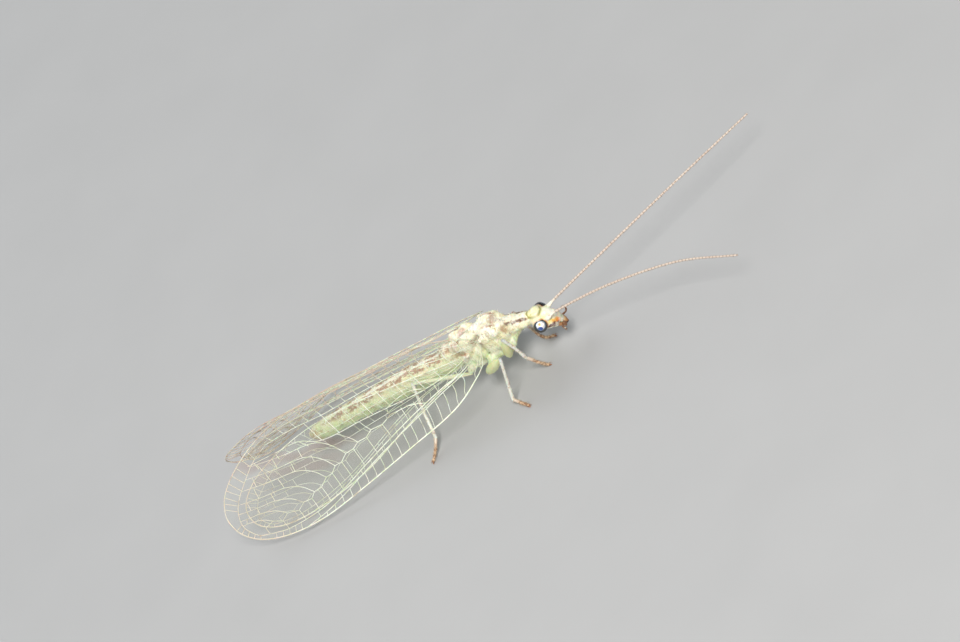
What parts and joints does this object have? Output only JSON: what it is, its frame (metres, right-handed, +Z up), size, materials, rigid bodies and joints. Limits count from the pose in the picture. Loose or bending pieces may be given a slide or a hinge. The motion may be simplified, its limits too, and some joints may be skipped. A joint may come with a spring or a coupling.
{
  "type": "green lacewing",
  "caption": "Life-size still model of a green lacewing at rest, its netted clear wings folded like a roof, long antennae reaching forward.",
  "frame": {"origin": "on the floor under the middle of the whole insect, from wing tips to feeler tips", "axes": "+X forward along the body to the head, +Y to the insect's left, +Z up from the floor that the feet stand on"},
  "size_m": [0.0258, 0.0084, 0.0035],
  "materials": {
    "head": "smooth cuticle, yellow green with a white face, an orange cheek and a dark streak from eye to mouth",
    "eye": "glossy compound eye, near black with a metallic flash",
    "mouthparts": "brown jaws and hairy palps",
    "thorax": "waxy cream cuticle with green sides and brown streaks",
    "abdomen": "soft pale green cuticle with a white band and reddish brown blotches",
    "antenna": "fine ringed flagellum, pinkish brown, with a cream scape",
    "leg": "whitish translucent cuticle with short hairs",
    "foot": "orange brown, densely haired",
    "wing": "clear membrane with pale green veins and short hairs"
  },
  "bodies": {
    "root": {"head": "head", "mouthparts": "mouthparts", "eye_right": "eye", "eye_left": "eye", "prothorax": "thorax", "mesothorax": "thorax", "metathorax": "thorax", "abdomen": "abdomen", "abdomen_tip": "abdomen", "palp_maxillary_right": "mouthparts", "palp_labial_right": "mouthparts", "antenna_right": "antenna", "forewing_right": "wing", "hindwing_right": "wing", "palp_maxillary_left": "mouthparts", "palp_labial_left": "mouthparts", "antenna_left": "antenna", "forewing_left": "wing", "hindwing_left": "wing", "coxa_fore_right": "leg", "femur_fore_right": "leg", "tibia_fore_right": "leg", "tarsus_fore_right": "foot", "coxa_fore_left": "leg", "femur_fore_left": "leg", "tibia_fore_left": "leg", "tarsus_fore_left": "foot", "coxa_mid_right": "leg", "femur_mid_right": "leg", "tibia_mid_right": "leg", "tarsus_mid_right": "foot", "coxa_mid_left": "leg", "femur_mid_left": "leg", "tibia_mid_left": "leg", "tarsus_mid_left": "foot", "coxa_hind_right": "leg", "femur_hind_right": "leg", "tibia_hind_right": "leg", "tarsus_hind_right": "foot", "coxa_hind_left": "leg", "femur_hind_left": "leg", "tibia_hind_left": "leg", "tarsus_hind_left": "foot"}
  },
  "joints": []
}
